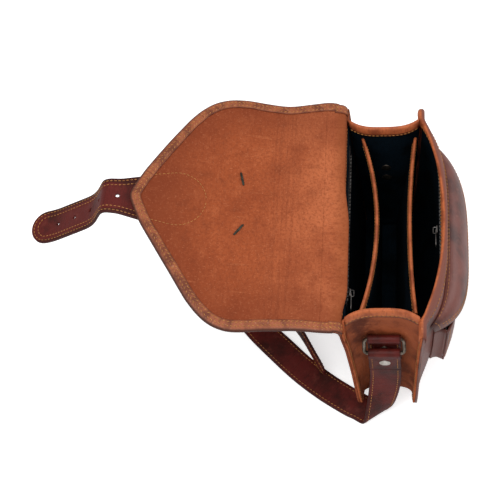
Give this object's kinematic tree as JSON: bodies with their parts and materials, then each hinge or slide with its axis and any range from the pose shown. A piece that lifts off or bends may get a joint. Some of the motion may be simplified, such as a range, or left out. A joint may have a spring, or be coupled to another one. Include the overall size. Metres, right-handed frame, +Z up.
{
  "type": "leather shoulder bag",
  "caption": "Leather shoulder bag with a pointed buckle flap, folded gussets, lined compartments with inner zips, a front pocket and an adjustable strap.",
  "frame": {"origin": "centre of the bag's flat bottom, where it stands", "axes": "+X across the bag to the right seen from its front, +Y towards its back, where the open flap lies, +Z up"},
  "size_m": [0.3143, 0.4655, 0.2478],
  "materials": {
    "outer_leather": "grained",
    "gusset_leather": "matt",
    "suede": "suede",
    "edge_leather": "matt",
    "strap_leather": "grained",
    "lining": "matt",
    "board": "matt",
    "zip_tape": "matt",
    "aged_metal": "aged",
    "rivet_metal": "worn"
  },
  "bodies": {
    "bag": {"back_divider": "lining", "back_divider_edge": "edge_leather", "back_lining": "lining", "back_panel": "outer_leather", "back_zip": "zip_tape", "base_board": "board", "bottom_lining": "lining", "bottom_panel": "outer_leather", "buckle_chape": "strap_leather", "buckle_keeper": "strap_leather", "buckle_rivet": "rivet_metal", "front_divider": "lining", "front_divider_edge": "edge_leather", "front_lining": "lining", "front_mouth_edge": "edge_leather", "front_panel": "outer_leather", "front_zip": "zip_tape", "left_gusset": "gusset_leather", "left_lining": "lining", "left_mouth_edge": "edge_leather", "left_ring_tab": "strap_leather", "left_strap_drop": "strap_leather", "left_strap_floor": "strap_leather", "left_tab_lower_rivet": "aged_metal", "left_tab_upper_rivet": "aged_metal", "pocket_front": "outer_leather", "pocket_gusset": "outer_leather", "right_gusset": "gusset_leather", "right_lining": "lining", "right_mouth_edge": "edge_leather", "right_ring_tab": "strap_leather", "right_strap_drop": "strap_leather", "right_strap_floor": "strap_leather", "right_tab_lower_rivet": "aged_metal", "right_tab_upper_rivet": "aged_metal", "strap_buckle_frame": "aged_metal", "strap_buckle_loop": "strap_leather", "strap_buckle_prong": "aged_metal"},
    "flap_back": {"flap_top": "suede", "flap_left_edge": "edge_leather", "flap_right_edge": "edge_leather", "left_flap_stud": "aged_metal", "right_flap_stud": "aged_metal"},
    "flap_point": {"flap_front": "suede", "flap_front_edge": "edge_leather", "closure_base": "strap_leather"},
    "closure_end": {"closure_strap": "strap_leather"},
    "pocket_lid": {"pocket_flap": "outer_leather"},
    "buckle": {"buckle_frame": "aged_metal"},
    "prong": {"buckle_prong": "aged_metal"},
    "back_slider": {"back_zip_slider": "aged_metal"},
    "back_pull": {"back_zip_pull": "aged_metal"},
    "front_slider": {"front_zip_slider": "aged_metal"},
    "front_pull": {"front_zip_pull": "aged_metal"},
    "left_ring_group": {"left_ring": "aged_metal", "left_strap_end": "strap_leather", "left_strap_rivet": "rivet_metal"},
    "right_ring_group": {"right_ring": "aged_metal", "right_strap_end": "strap_leather", "right_strap_rivet": "rivet_metal"}
  },
  "joints": [
    {"name": "flap_hinge", "type": "hinge", "parent": "bag", "child": "flap_back", "pos_m": [0, 0.0408, 0.2076], "axis": [1, 0, 0], "range_deg": [-26, 170]},
    {"name": "flap_fold", "type": "hinge", "parent": "flap_back", "child": "flap_point", "pos_m": [0, 0.15163, 0.22978], "axis": [1, 0, 0], "range_deg": [0, 68]},
    {"name": "closure_bend", "type": "hinge", "parent": "flap_point", "child": "closure_end", "pos_m": [0, 0.28476, 0.24645], "axis": [-1, 0, 0], "range_deg": [-99, 21]},
    {"name": "pocket_flap_hinge", "type": "hinge", "parent": "bag", "child": "pocket_lid", "pos_m": [0, -0.06372, 0.172], "axis": [1, 0, 0], "range_deg": [-100, 0]},
    {"name": "buckle_swing", "type": "hinge", "parent": "bag", "child": "buckle", "pos_m": [0, -0.04595, 0.02894], "axis": [1, 0, 0], "range_deg": [0, 100]},
    {"name": "prong_swing", "type": "hinge", "parent": "buckle", "child": "prong", "pos_m": [0, -0.04595, 0.02894], "axis": [-1, 0, 0], "range_deg": [-100, 0]},
    {"name": "back_zip_slide", "type": "slide", "parent": "bag", "child": "back_slider", "axis": [1, 0, 0], "range_m": [0, 0.156]},
    {"name": "back_pull_swing", "type": "hinge", "parent": "back_slider", "child": "back_pull", "pos_m": [-0.078, 0.03196, 0.182], "axis": [0, 0, 1], "range_deg": [0, 24]},
    {"name": "front_zip_slide", "type": "slide", "parent": "bag", "child": "front_slider", "axis": [1, 0, 0], "range_m": [-0.044, 0.06]},
    {"name": "front_pull_swing", "type": "hinge", "parent": "front_slider", "child": "front_pull", "pos_m": [-0.006, -0.05317, 0.182], "axis": [0, 0, 1], "range_deg": [-165, 0]},
    {"name": "left_ring_swing", "type": "hinge", "parent": "bag", "child": "left_ring_group", "pos_m": [-0.11385, 0, 0.15], "axis": [0, 1, 0], "range_deg": [0, 140], "deforming": ["left_strap_drop"]},
    {"name": "right_ring_swing", "type": "hinge", "parent": "bag", "child": "right_ring_group", "pos_m": [0.11385, 0, 0.15], "axis": [0, -1, 0], "range_deg": [0, 140], "deforming": ["right_strap_drop"]}
  ]
}
